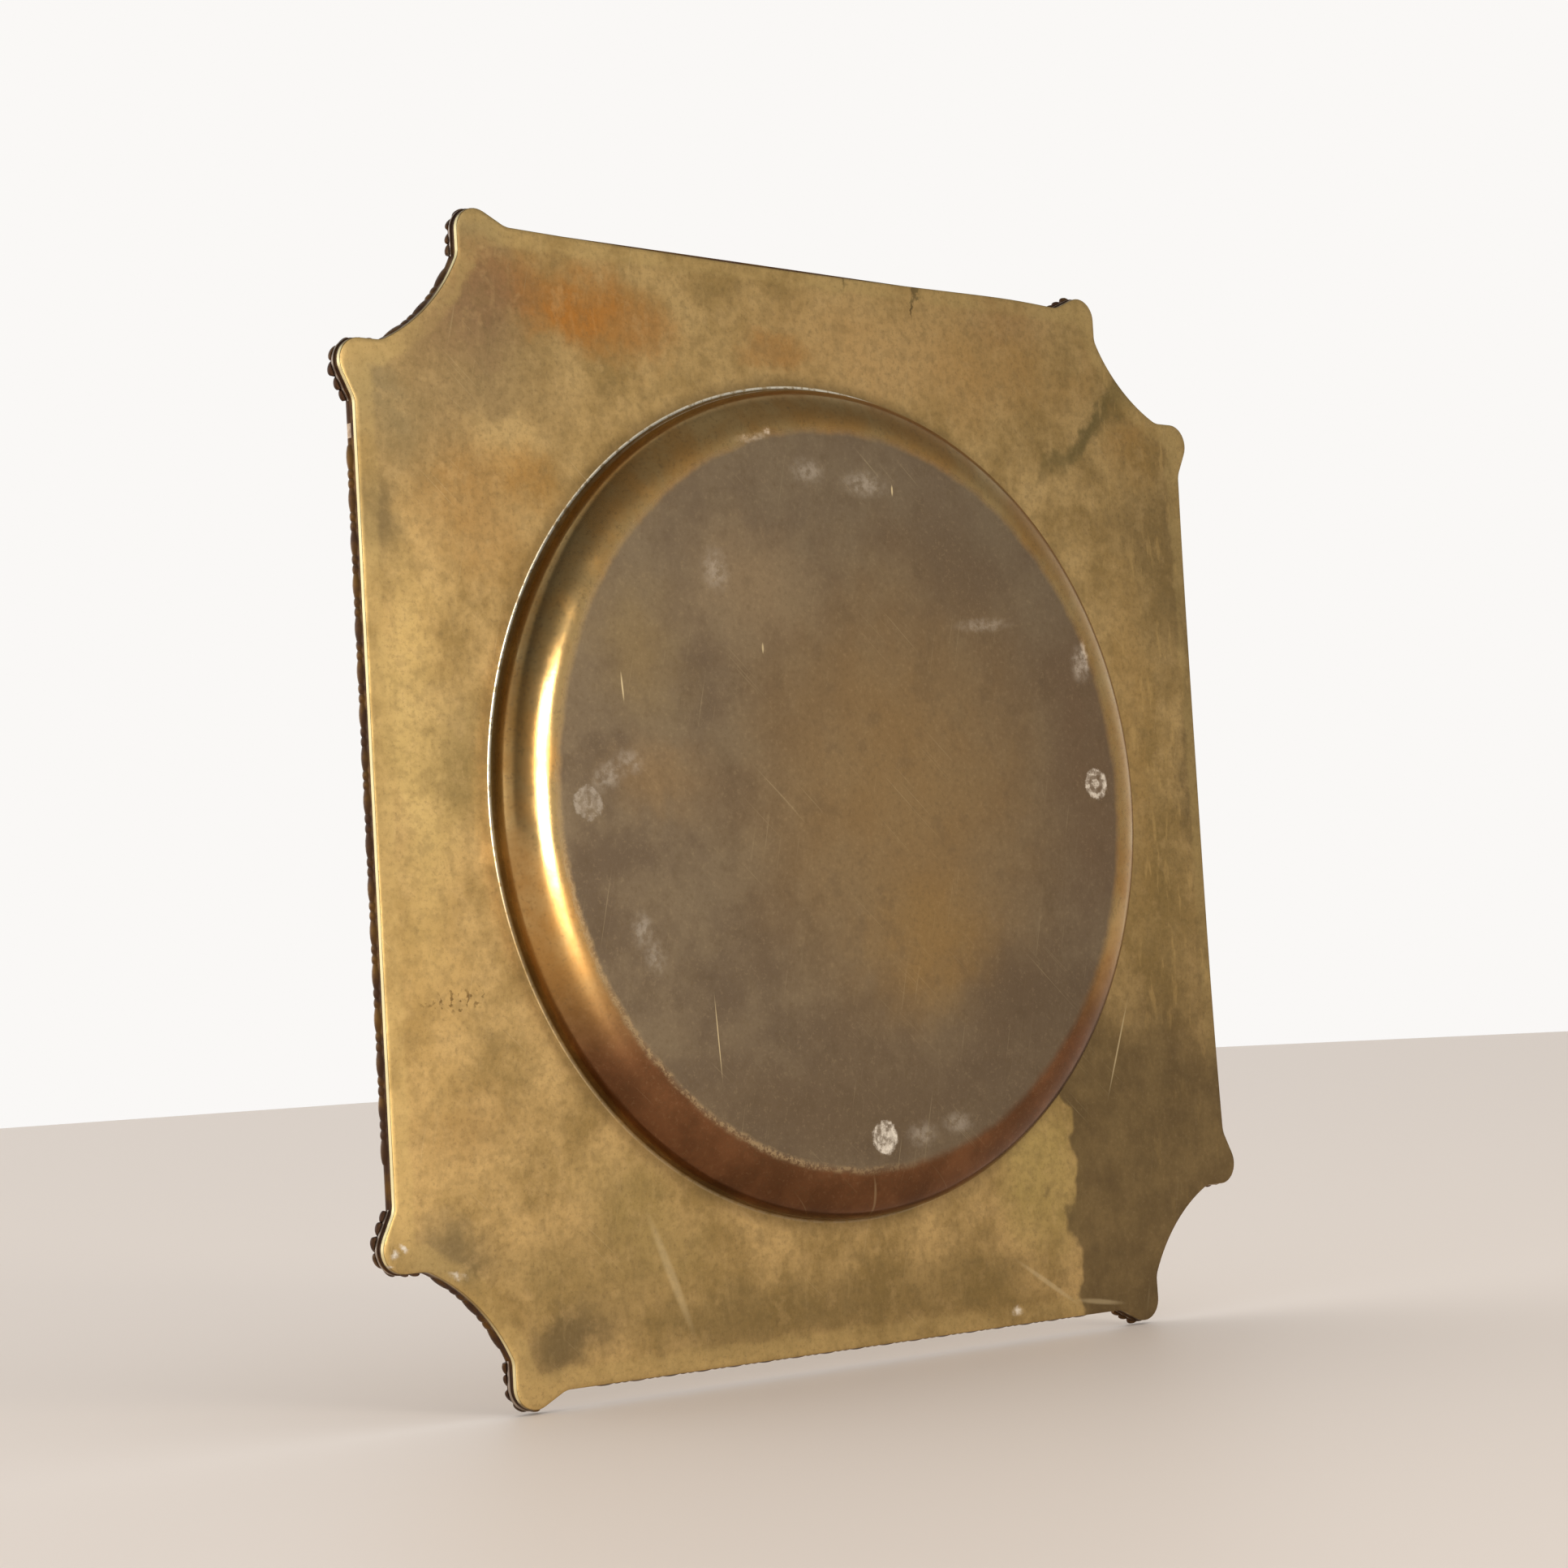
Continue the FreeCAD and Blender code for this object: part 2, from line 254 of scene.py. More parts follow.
# single scratches: place, half length, half width, turn from upright, strength
cuts = [
    ((47, -55), 9.0, 0.16, 3, 0.7), ((-92.5, -64), 12.0, 0.28, -21, 0.55), ((-17, 75), 1.3, 0.3, 0, 0.9),
    ((69, 25), 3.2, 0.25, 4, 0.8), ((27, 35), 1.2, 0.3, 0, 0.7), ((-90, -30), 9.0, 0.5, -12, 0.3),
    ((57, -108), 14.0, 1.3, 22, 0.28), ((-62, -121), 11.0, 0.7, 58, 0.35),
    ((-80, -127.5), 8.0, 0.7, 82, 0.35), ((1, -95), 5.0, 0.4, 12, 0.25),
]
# rings left by stuck-on pads: place, strength, how bare the ring between middle and edge is
padMarks = [((80.4, -1.3), 0.34, 0.6), ((-81.1, 3.5), 0.80, 1.0), ((-2.1, -81.0), 0.95, 0.25)]


def agedSheetBrass():
    material, tree = newMaterial("agedSheetBrass")
    position = platePosition(tree)
    axes = addNode(tree, "SeparateXYZ", position).outputs
    flat = addNode(tree, "VectorMath.MULTIPLY", position, (1, 0, 1))
    radius = addNode(tree, "VectorMath.LENGTH", flat)
    surface = addNode(tree, "TexCoord").outputs["Normal"]
    facing = addNode(tree, "SeparateXYZ", surface).outputs

    # patches are pushed about by a coarse and a fine noise, small marks by a finer one
    ragged = pushed(tree, flat, noise(tree, position, 22, 3), 20)
    ragged = pushed(tree, ragged, noise(tree, position, 4.5, 5, 0.62), 9)
    frayed = pushed(tree, flat, noise(tree, position, 1.6, 4, 0.65), 2.4)

    def addClouds(colour, clouds):
        for centre, size, tint, strength, soft, turn in clouds:
            spot = patch(tree, ragged, centre, size, soft, turn)
            colour = addNode(tree, "Mix", addNode(tree, "Math.MULTIPLY", spot, strength), colour, tint)
        return colour

    # flange, back
    mottle = noise(tree, position, sheetLook["mottleSize"], 6, 0.62)
    blotch = noise(tree, position, sheetLook["blotchSize"], 5, 0.6, shift=(3, 1, 8))
    speckle = noise(tree, position, sheetLook["speckleSize"], 4, 0.75)
    wiped = noise(tree, position, sheetLook["wipeSize"], 3, 0.6, (1, 1, 0.25))
    colour = addNode(tree, "Mix", addNode(tree, "MapRange", mottle, 0.34, 0.66), sheetLook["deep"],
                     sheetLook["pale"])
    colour = addClouds(colour, flangeClouds)
    colour = addNode(tree, "Mix", addNode(tree, "MapRange", blotch, 0.5, 0.66, 0, 0.25), colour, "7E6A46")
    colour = addNode(tree, "Mix", addNode(tree, "MapRange", blotch, 0.46, 0.34, 0, 0.18), colour, "D8B47C")
    dusty = noise(tree, position, sheetLook["dustSize"], 3, 0.6, shift=(5, 2, 9))
    colour = addNode(tree, "Mix", addNode(tree, "MapRange", dusty, 0.44, 0.62, 0, 0.22), colour, "6F5C3A")
    colour = addNode(tree, "Mix", addNode(tree, "MapRange", wiped, 0.56, 0.7, 0, 0.1), colour, "D8B67E")

    # a darker corner whose boundary is a crisp, wavy tide line
    wavy = pushed(tree, flat, noise(tree, position, 30, 4, 0.45, shift=(1, 6, 2)), 38)
    tide = addNode(tree, "SeparateXYZ", wavy).outputs
    corner = addNode(tree, "Math.MULTIPLY",
                     addNode(tree, "MapRange", tide["X"], *sheetLook["tideLine"], 1, 0),
                     addNode(tree, "MapRange", tide["Z"], *sheetLook["tideTop"], 1, 0))
    cornerTone = addNode(tree, "Mix", addNode(tree, "MapRange", mottle, 0.35, 0.65), "5C4B34", "6C5A3C")
    colour = addNode(tree, "Mix", addNode(tree, "Math.MULTIPLY", corner, 0.8), colour, cornerTone)

    # lighter band along the whole edge, bites and ears included
    reach = addNode(tree, "Math.MAXIMUM", addNode(tree, "Math.ABSOLUTE", axes["X"]),
                    addNode(tree, "Math.ABSOLUTE", axes["Z"]))
    toSide = addNode(tree, "Math.SUBTRACT", plate["side"], reach)
    mirroredPlace = addNode(tree, "VectorMath.ABSOLUTE", flat)
    fromBite = addNode(tree, "VectorMath.LENGTH",
                       addNode(tree, "VectorMath.SUBTRACT", mirroredPlace,
                               (biteCentre / mm, 0, biteCentre / mm)))
    toEdge = addNode(tree, "Math.MINIMUM", toSide,
                     addNode(tree, "Math.SUBTRACT", fromBite, plate["biteRadius"]))
    wavering = addNode(tree, "Math.MULTIPLY_ADD", blotch, 5.0, addNode(tree, "Math.SUBTRACT", toEdge, 2.5))
    band = addNode(tree, "MapRange", wavering, sheetLook["bandWidth"] - 0.8, sheetLook["bandWidth"] + 1.0,
                   1, 0)
    band = addNode(tree, "Math.MULTIPLY", band, addNode(tree, "MapRange", mottle, 0.35, 0.6, 0.15, 0.45))
    band = addNode(tree, "Math.MULTIPLY", band, addNode(tree, "Math.SUBTRACT", 1.0, corner))
    colour = addNode(tree, "Mix", band, colour, sheetLook["band"])

    # painted shade in the foot of the well's wall, and light rubbing streaks beside it
    footShade = addNode(tree, "Math.MULTIPLY", addNode(tree, "MapRange", radius, 100.4, 104.5, 1, 0),
                    addNode(tree, "MapRange", radius, 99.6, 100.4))
    colour = addNode(tree, "Mix", addNode(tree, "Math.MULTIPLY", footShade, 0.55), colour, "6A5636")
    streaks = addNode(tree, "Math.MULTIPLY", addNode(tree, "MapRange", wiped, 0.55, 0.68),
                      addNode(tree, "MapRange", axes["X"], -98, -104, 0, 1))
    streaks = addNode(tree, "Math.MULTIPLY", streaks,
                      addNode(tree, "Math.MULTIPLY_ADD", corner, -0.22, 0.3))
    colour = addNode(tree, "Mix", streaks, colour, "C4A164")

    # painted highlight along the crease round the foot of the wall, brightest along its upper left
    footHighlight = addNode(tree, "Math.MULTIPLY", addNode(tree, "MapRange", radius, 100.1, 100.3),
                     addNode(tree, "MapRange", radius, 100.6, 100.9, 1, 0))
    litUpperLeft = addNode(tree, "MapRange", addNode(tree, "Math.MULTIPLY_ADD", axes["Z"], 1.3, axes["X"]), 50,
                     130, 0.08, 0.9)
    footHighlight = addNode(tree, "Math.MULTIPLY", footHighlight, litUpperLeft)
    footHighlight = addNode(tree, "Math.MULTIPLY", footHighlight, addNode(tree, "MapRange", dusty, 0.38, 0.5, 0.25, 1))
    colour = addNode(tree, "Mix", footHighlight, colour, sheetLook["foot"])

    # brown specks below the left of the well
    speckArea = patch(tree, ragged, (111, -42), (9, 4), 0.6, 12)
    speck = addNode(tree, "MapRange", noise(tree, position, 1.5, 2, 0.5), 0.55, 0.63)
    specks = addNode(tree, "Math.MULTIPLY", speckArea, speck)
    colour = addNode(tree, "Mix", addNode(tree, "Math.MULTIPLY", specks, 0.75), colour, "5E4526")

    # crown of the well: polished and toned, with a painted reflection of a brown table along its lower half
    low = addNode(tree, "MapRange", axes["Z"], -62, -30, 1, 0)
    crownTone = addNode(tree, "Mix", addNode(tree, "MapRange", mottle, 0.35, 0.7), sheetLook["crown"],
                        sheetLook["pale"])
    tableReflectionTone = addNode(tree, "Mix", addNode(tree, "MapRange", mottle, 0.35, 0.65),
                         sheetLook["tableReflectionDark"], sheetLook["tableReflection"])
    crownTone = addNode(tree, "Mix", low, crownTone, tableReflectionTone)
    crown = addNode(tree, "MapRange", radius, 99.7, 100.1, 1, 0)
    colour = addNode(tree, "Mix", crown, colour, crownTone)

    # scuffed base, its edge rubbed through to a thin light line low down
    baseTone = addNode(tree, "Mix", addNode(tree, "MapRange", mottle, 0.35, 0.68), sheetLook["baseDark"],
                       sheetLook["base"])
    baseTone = addClouds(baseTone, baseClouds)
    baseTone = addNode(tree, "Mix", addNode(tree, "MapRange", blotch, 0.52, 0.68, 0, 0.25), baseTone,
                       "5F4F3C")
    worn = addNode(tree, "Math.MULTIPLY_ADD", blotch, 2.4, radius)
    scuffed = addNode(tree, "MapRange", worn, 88.3, 91.3, 1, 0)
    colour = addNode(tree, "Mix", scuffed, colour, baseTone)
    rub = addNode(tree, "Math.MULTIPLY", addNode(tree, "MapRange", worn, 88.2, 89.4),
                  addNode(tree, "MapRange", worn, 89.8, 91.0, 1, 0))
    rub = addNode(tree, "Math.MULTIPLY", rub,
                  addNode(tree, "MapRange", addNode(tree, "Math.SUBTRACT", axes["X"], axes["Z"]), 60, 110))
    rub = addNode(tree, "Math.MULTIPLY", rub, addNode(tree, "MapRange", speckle, 0.42, 0.6, 0, 0.75))
    colour = addNode(tree, "Mix", rub, colour, "B59A72")
    colour = addNode(tree, "Mix", addNode(tree, "MapRange", speckle, 0.5, 0.7, 0, 0.32), colour, "66533A")
    colour = addNode(tree, "Mix", addNode(tree, "MapRange", speckle, 0.46, 0.32, 0, 0.08), colour, "D2B68A")

    # dry residue of round pads, smudges and dried drops
    bloom = addNode(tree, "MapRange", noise(tree, position, 1.8, 4, 0.7), 0.36, 0.62, 0.15, 1)
    marks = None
    for centre, strength, hollow in padMarks:
        far = addNode(tree, "VectorMath.LENGTH",
                      addNode(tree, "VectorMath.SUBTRACT", frayed, (centre[0], 0, centre[1])))
        disc = addNode(tree, "MapRange", far, 3.5, 4.2, 1, 0)
        gap = addNode(tree, "Math.MULTIPLY", addNode(tree, "MapRange", far, 1.0, 1.5),
                      addNode(tree, "MapRange", far, 2.2, 2.7, 1, 0))
        one = addNode(tree, "Math.MULTIPLY", disc,
                      addNode(tree, "Math.MULTIPLY_ADD", gap, -0.75 * hollow, 1.0))
        one = addNode(tree, "Math.MULTIPLY", one, addNode(tree, "Math.MULTIPLY", bloom, strength))
        marks = one if marks is None else addNode(tree, "Math.MAXIMUM", marks, one)
    for centre, size, strength, turn in smudges:
        one = addNode(tree, "Math.MULTIPLY", patch(tree, frayed, centre, size, 0.8, turn),
                      addNode(tree, "Math.MULTIPLY", bloom, strength))
        marks = addNode(tree, "Math.MAXIMUM", marks, one)
    onBack = addNode(tree, "MapRange", facing["Y"], -0.05, 0.05)
    marks = addNode(tree, "Math.MULTIPLY", marks, onBack)

    scratches = None
    for centre, halfLength, halfWidth, turn, strength in cuts:
        one = addNode(tree, "Math.MULTIPLY", patch(tree, flat, centre, (halfWidth, halfLength), 0.6, turn),
                      strength)
        scratches = one if scratches is None else addNode(tree, "Math.MAXIMUM", scratches, one)
    scratches = addNode(tree, "Math.MULTIPLY", scratches, onBack)
    colour = addNode(tree, "Mix", scratches, colour, sheetLook["scratch"])

    # front: the same brass, kept brighter, duller beside the border and in the corner of the well
    frontMottle = noise(tree, position, 30, 5, 0.55, shift=(4, 9, 2))
    frontTone = addNode(tree, "Mix", addNode(tree, "MapRange", frontMottle, 0.34, 0.66),
                        sheetLook["frontDeep"], sheetLook["front"])
    besideBorder = addNode(tree, "MapRange", addNode(tree, "Math.MULTIPLY_ADD", blotch, 6.0, toEdge), 9, 17,
                           1, 0)
    inCorner = addNode(tree, "Math.MULTIPLY", addNode(tree, "MapRange", radius, 86, 97),
                       addNode(tree, "MapRange", radius, 99, 101, 1, 0))
    dull = addNode(tree, "Math.MAXIMUM", addNode(tree, "Math.MULTIPLY", besideBorder, 0.8),
                   addNode(tree, "Math.MULTIPLY", inCorner, 0.55))
    frontTone = addNode(tree, "Mix", dull, frontTone, sheetLook["frontDull"])
    frontTone = addNode(tree, "Mix", addNode(tree, "MapRange", blotch, 0.52, 0.7, 0, 0.16), frontTone,
                        "8A6C3C")
    outward = addNode(tree, "VectorMath.DOT_PRODUCT", surface, addNode(tree, "VectorMath.NORMALIZE", flat))
    lean = addNode(tree, "Math.MULTIPLY_ADD", outward, 0.2, facing["Y"])
    front = addNode(tree, "MapRange", lean, -0.12, -0.02, 1, 0)
    colour = addNode(tree, "Mix", front, colour, frontTone)
    # the sheet's cut edge in lit and shaded copies: a painted highlight where it faces +X, painted shade
    # where it faces elsewhere
    rim = addNode(tree, "Math.MULTIPLY",
                  addNode(tree, "MapRange", addNode(tree, "Math.ABSOLUTE", facing["Y"]), 0.5, 0.95, 1, 0),
                  addNode(tree, "MapRange", radius, 106, 108))
    edgeLitAndShaded = addNode(tree, "Mix", addNode(tree, "MapRange", facing["X"], 0.7, 0.9), sheetLook["edgeShade"],
                       sheetLook["edgeHighlight"])
    colour = addNode(tree, "Mix", addNode(tree, "Math.MULTIPLY", rim, 0.9), colour, edgeLitAndShaded)
    colour = addNode(tree, "Mix", marks, colour, sheetLook["residue"])

    # hairlines from wiping and stacking, showing only here and there
    def hairlines(angle, shift):
        turned = addNode(tree, "Mapping", position, Rotation=(0, math.radians(angle), 0))
        streak = noise(tree, turned, 1.0, 2, 0.5, (1 / 0.5, 0, 1 / 30), shift)
        where = noise(tree, position, 30, 2, 0.5, shift=(shift[0] + 3, 5, 1))
        return addNode(tree, "Math.MULTIPLY", addNode(tree, "MapRange", streak, 0.64, 0.74),
                       addNode(tree, "MapRange", where, 0.48, 0.62))

    lines = addNode(tree, "Math.MAXIMUM", hairlines(14, (0, 0, 0)), hairlines(-48, (7, 0, 4)))
    colour = addNode(tree, "Mix", addNode(tree, "Math.MULTIPLY", lines, 0.14), colour, sheetLook["scratch"])

    # roughness: satin flange, polished crown, matt base and marks
    rough = addNode(tree, "MapRange", mottle, 0.3, 0.7, 0.4, 0.3)
    rough = addNode(tree, "Math.MULTIPLY_ADD", blotch, 0.12, rough)
    rough = addNode(tree, "Math.MULTIPLY_ADD", addNode(tree, "Math.MULTIPLY", crown, onBack), -0.22, rough)
    rough = addNode(tree, "Math.MULTIPLY_ADD", addNode(tree, "Math.MULTIPLY", scuffed, onBack), 0.3, rough)
    rough = addNode(tree, "Math.MULTIPLY_ADD", front, -0.1, rough)
    rough = addNode(tree, "Math.MULTIPLY_ADD", marks, 0.35, rough)
    rough = addNode(tree, "Math.MULTIPLY_ADD", footHighlight, -0.12, rough)
    metal = addNode(tree, "Math.SUBTRACT", 1.0, addNode(tree, "Math.MULTIPLY", marks, 0.85))

    # relief: slow waves from the press and a fine grain
    waves = noise(tree, position, sheetLook["waveSize"], 2, 0.5)
    grain = noise(tree, position, sheetLook["grainSize"], 2, 0.5)
    height = addNode(tree, "Math.MULTIPLY", waves, sheetLook["waveHeight"])
    height = addNode(tree, "Math.MULTIPLY_ADD", grain, sheetLook["grainHeight"], height)
    bump = addNode(tree, "Bump", Strength=1.0, Distance=mm, Height=height)

    shader = addNode(tree, "BsdfPrincipled", colour, Roughness=rough, Metallic=metal, Normal=bump)
    addNode(tree, "OutputMaterial", shader)
    return material


# Sand cast brass, brown with tarnish and finely pitted, its crests rubbed back to a dull gold, and
# on the shells a fine ridge round the rim painted pale grey as a highlight
castLook = {
    # ridge is the colour of a painted highlight along the shells' ridge
    "dark": "4E382A", "mid": "6A4C28", "worn": "B08A4C", "ridge": "B7A899",
    "pitSize": 0.8, "pitDepth": 0.03,
    "crestHeight": 2.6, "shellCrest": 3.2,   # above the sheet's front, where the rubbing starts
    "shellRidge": 1.4,         # height of the shells' ridge above the sheet's front
}


def tarnishedCastBrass(name, crestHeight, ridgeHeight=None):
    material, tree = newMaterial(name)
    position = platePosition(tree)
    axes = addNode(tree, "SeparateXYZ", position).outputs
    cloudy = noise(tree, position, 7, 4, 0.6)
    pits = noise(tree, position, castLook["pitSize"], 4, 0.65)
    colour = addNode(tree, "Mix", addNode(tree, "MapRange", cloudy, 0.4, 0.65), castLook["dark"],
                     castLook["mid"])
    height = addNode(tree, "Math.MULTIPLY_ADD", axes["Y"], -1, -plate["sheet"])
    crest = addNode(tree, "Math.MULTIPLY_ADD", cloudy, 0.9, height)
    worn = addNode(tree, "MapRange", crest, crestHeight, crestHeight + 1.1)
    colour = addNode(tree, "Mix", addNode(tree, "Math.MULTIPLY", worn, 0.85), colour, castLook["worn"])
    if ridgeHeight is not None:
        # painted highlight: a pale grey line along the shells' ridge
        fromRidge = addNode(tree, "Math.ABSOLUTE", addNode(tree, "Math.SUBTRACT", height, ridgeHeight))
        ridge = addNode(tree, "MapRange", fromRidge, 0.22, 0.33, 0.8, 0)
        colour = addNode(tree, "Mix", ridge, colour, castLook["ridge"])
    rough = addNode(tree, "MapRange", cloudy, 0.3, 0.7, 0.46, 0.32)
    height = addNode(tree, "Math.MULTIPLY", pits, castLook["pitDepth"])
    bump = addNode(tree, "Bump", Strength=1.0, Distance=mm, Height=height)
    shader = addNode(tree, "BsdfPrincipled", colour, Roughness=rough, Metallic=1.0, Normal=bump)
    addNode(tree, "OutputMaterial", shader)
    return material


def brightSolder():
    # soft solder, wiped clean and scraped: pale and satin beside the brown castings
    material, tree = newMaterial("brightSolder")
    position = platePosition(tree)
    smear = noise(tree, position, 1.2, 3, 0.6)
    colour = addNode(tree, "Mix", addNode(tree, "MapRange", smear, 0.35, 0.65), "C9B29A", "A98E74")
    height = addNode(tree, "Math.MULTIPLY", smear, 0.05)
    bump = addNode(tree, "Bump", Strength=1.0, Distance=mm, Height=height)
    shader = addNode(tree, "BsdfPrincipled", colour, Roughness=0.38, Metallic=1.0, Normal=bump)
    addNode(tree, "OutputMaterial", shader)
    return material


print("materials")
sheetBrass = agedSheetBrass()
castBrass = tarnishedCastBrass("tarnishedCastBrass", castLook["crestHeight"])
shellBrass = tarnishedCastBrass("tarnishedShellBrass", castLook["shellCrest"], castLook["shellRidge"])
solder = brightSolder()


# Modelling helpers

def pickNothing():
    if bpy.context.object and bpy.context.object.mode == "EDIT":
        bpy.ops.object.mode_set(mode="OBJECT")
    bpy.ops.object.select_all(action="DESELECT")


def pickOnly(piece):
    pickNothing()
    piece.select_set(True)
    bpy.context.view_layer.objects.active = piece


def editWhole(piece):
    pickOnly(piece)
    bpy.ops.object.mode_set(mode="EDIT")
    bpy.ops.mesh.select_all(action="SELECT")


def selectVertices(piece, test):
    # in edit mode: select only the vertices that pass the test on their place
    bpy.ops.mesh.select_mode(type="VERT")
    bpy.ops.mesh.select_all(action="DESELECT")
    edited = bmesh.from_edit_mesh(piece.data)
    for vertex in edited.verts:
        vertex.select_set(test(vertex.co))
    edited.select_flush_mode()
    bmesh.update_edit_mesh(piece.data)


def applyModifier(piece, kind, **settings):
    pickOnly(piece)
    modifier = piece.modifiers.new(kind.lower(), kind)
    for name, value in settings.items():
        setattr(modifier, name, value)
    bpy.ops.object.modifier_apply(modifier=modifier.name)


def fuse(piece, others):
    # joins the others on, one after the other
    for other in others:
        applyModifier(piece, "BOOLEAN", operation="UNION", solver="EXACT", object=other)
        bpy.data.objects.remove(other, do_unlink=True)


def drawOutline(name, start, moves):
    # one vertex is pushed along lines and spun round arcs, then the outline is filled
    pickNothing()
    bpy.ops.mesh.primitive_plane_add(size=1 * mm, location=(0, 0, 0))
    piece = bpy.context.object
    piece.name = name
    bpy.ops.object.mode_set(mode="EDIT")
    selectVertices(piece, lambda place: not (place.x > 0 and place.y > 0))
    bpy.ops.mesh.delete(type="VERT")
    bpy.ops.mesh.select_all(action="SELECT")
    here = Vector((0.5 * mm, 0.5 * mm, 0))
    bpy.ops.transform.translate(value=Vector(start) - here)
    here = Vector(start)
    for move in moves:
        if move[0] == "line":
            target = Vector(move[1])
            bpy.ops.mesh.extrude_region_move(TRANSFORM_OT_translate={"value": target - here})
            here = target
        else:
            centre, angle, steps, axis = move[1:]
            bpy.ops.mesh.spin(steps=steps, angle=-math.radians(angle), center=centre, axis=axis)
            turn = Matrix.Rotation(math.radians(angle), 3, Vector(axis))
            here = Vector(centre) + turn @ (here - Vector(centre))
    bpy.ops.mesh.select_all(action="SELECT")
    bpy.ops.mesh.remove_doubles(threshold=0.01 * mm)
    bpy.ops.mesh.edge_face_add()
    bpy.ops.object.mode_set(mode="OBJECT")
    return piece


def cutAway(piece, place, normal):
    # everything on the side that normal points to goes, and the cut is closed
    editWhole(piece)
    bpy.ops.mesh.bisect(plane_co=place, plane_no=normal, use_fill=True, clear_outer=True,
                        threshold=0.001 * mm)
    bpy.ops.object.mode_set(mode="OBJECT")


smoothAngle = 35               # degrees: flatter edges than this are shaded smooth


def tidyMesh(piece):
    editWhole(piece)
    bpy.ops.mesh.remove_doubles(threshold=0.005 * mm)
    bpy.ops.mesh.dissolve_degenerate(threshold=0.002 * mm)
    bpy.ops.mesh.normals_make_consistent(inside=False)
    bpy.ops.object.mode_set(mode="OBJECT")
    bpy.ops.object.shade_smooth_by_angle(angle=math.radians(smoothAngle))


def copyOf(piece, name):
    other = piece.copy()
    other.data = piece.data.copy()
    other.name = other.data.name = name
    bpy.context.collection.objects.link(other)
    return other


def standUp(piece, quarter, mirrored=False):
    # from the bench to the standing plate, after a turn by quarters and, for one ear of two, a mirror
    across = Matrix(((0, 1, 0, 0), (1, 0, 0, 0), (0, 0, 1, 0), (0, 0, 0, 1)))
    turn = Matrix.Rotation(math.radians(90 * quarter), 4, "Z") @ (across if mirrored else Matrix.Identity(4))
    stand = Matrix.Translation((0, backY, centreZ)) @ Matrix.Rotation(math.radians(90), 4, "X")
    piece.matrix_world = stand @ turn
    pickOnly(piece)
    bpy.ops.object.transform_apply(location=True, rotation=True, scale=True)
    tidyMesh(piece)


handWork = {
    "topBow": 1.1, "sideBow": 1.2, "wave": 0.22,
    "lowEar": (-96, 130), "earDrop": 1.5, "earSpread": 13,
}


def handFinish(piece):
    # an old plate isn't true: two sides bow in a little, one ear sits low, the flange is not quite flat
    for vertex in piece.data.vertices:
        x, z = vertex.co.x / mm, (vertex.co.z - centreZ) / mm
        topShare = max(0, z / plate["side"]) ** 4 * max(0, 1 - (x / plate["earStart"]) ** 2)
        sideShare = max(0, -x / plate["side"]) ** 4 * max(0, 1 - (z / plate["earStart"]) ** 2)
        fromEar = math.dist((x, z), handWork["lowEar"])
        earShare = math.exp(-fromEar ** 2 / (2 * handWork["earSpread"] ** 2))
        vertex.co.z -= (handWork["topBow"] * topShare + handWork["earDrop"] * earShare) * mm
        vertex.co.x += handWork["sideBow"] * sideShare * mm
        rise = min(1, max(0, (math.hypot(x, z) - 100) / 30))
        vertex.co.y += handWork["wave"] * rise * math.sin(x / 23 + 0.6) * math.cos(z / 27 - 0.4) * mm


def finishPiece(piece, node):
    handFinish(piece)
    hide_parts(node)
    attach(piece, "root")


print("sheet")
pressing = {
    "edgeRound": 0.2,          # worn back edge of the flange
    "footRadius": 0.8,
    "wallHeight": 1.2,
    "shoulderRadius": 7.0,
    "flangeShares": (0.03, 0.18, 0.34, 0.5, 0.67, 0.84, 1.0),   # of the way from edge to well
    "sideSteps": 44,
    "cusp": 1.1,               # softening of the corners beside each ear
}


def swapped(place):
    return Vector((place.y, place.x, place.z))


def arcStations(centre, radius, start, end, steps):
    angles = [math.radians(start + (end - start) * step / steps) for step in range(1, steps + 1)]
    return [(centre[0] + radius * math.cos(a), centre[1] + radius * math.sin(a)) for a in angles]


def wellStations():
    # radius and height, in millimetres, from the flange in over the wall to the middle of the base
    outside, base, depth = plate["wellRadius"], plate["baseRadius"], plate["wellDepth"]
    foot, wall, bend = pressing["footRadius"], pressing["wallHeight"], pressing["shoulderRadius"]
    shoulder = (outside - bend, -wall)
    across, drop = shoulder[0] - base, wall - depth
    crownRadius = (bend ** 2 - across ** 2 - drop ** 2) / (2 * (drop + bend))
    crown = (base, crownRadius - depth)
    meet = math.degrees(math.atan2(shoulder[1] - crown[1], across))
    stations = [(outside + 4, 0), (outside + 2, 0), (outside + foot, 0)]
    stations += arcStations((outside + foot, -foot), foot, 90, 180, 6)
    stations += [(outside, -wall)]
    stations += arcStations(shoulder, bend, 0, meet, 10)
    stations += arcStations(crown, crownRadius, meet, -90, 14)
    stations += [(base * share, -depth) for share in (0.97, 0.9, 0.75, 0.5, 0.25, 0.05)]
    return stations


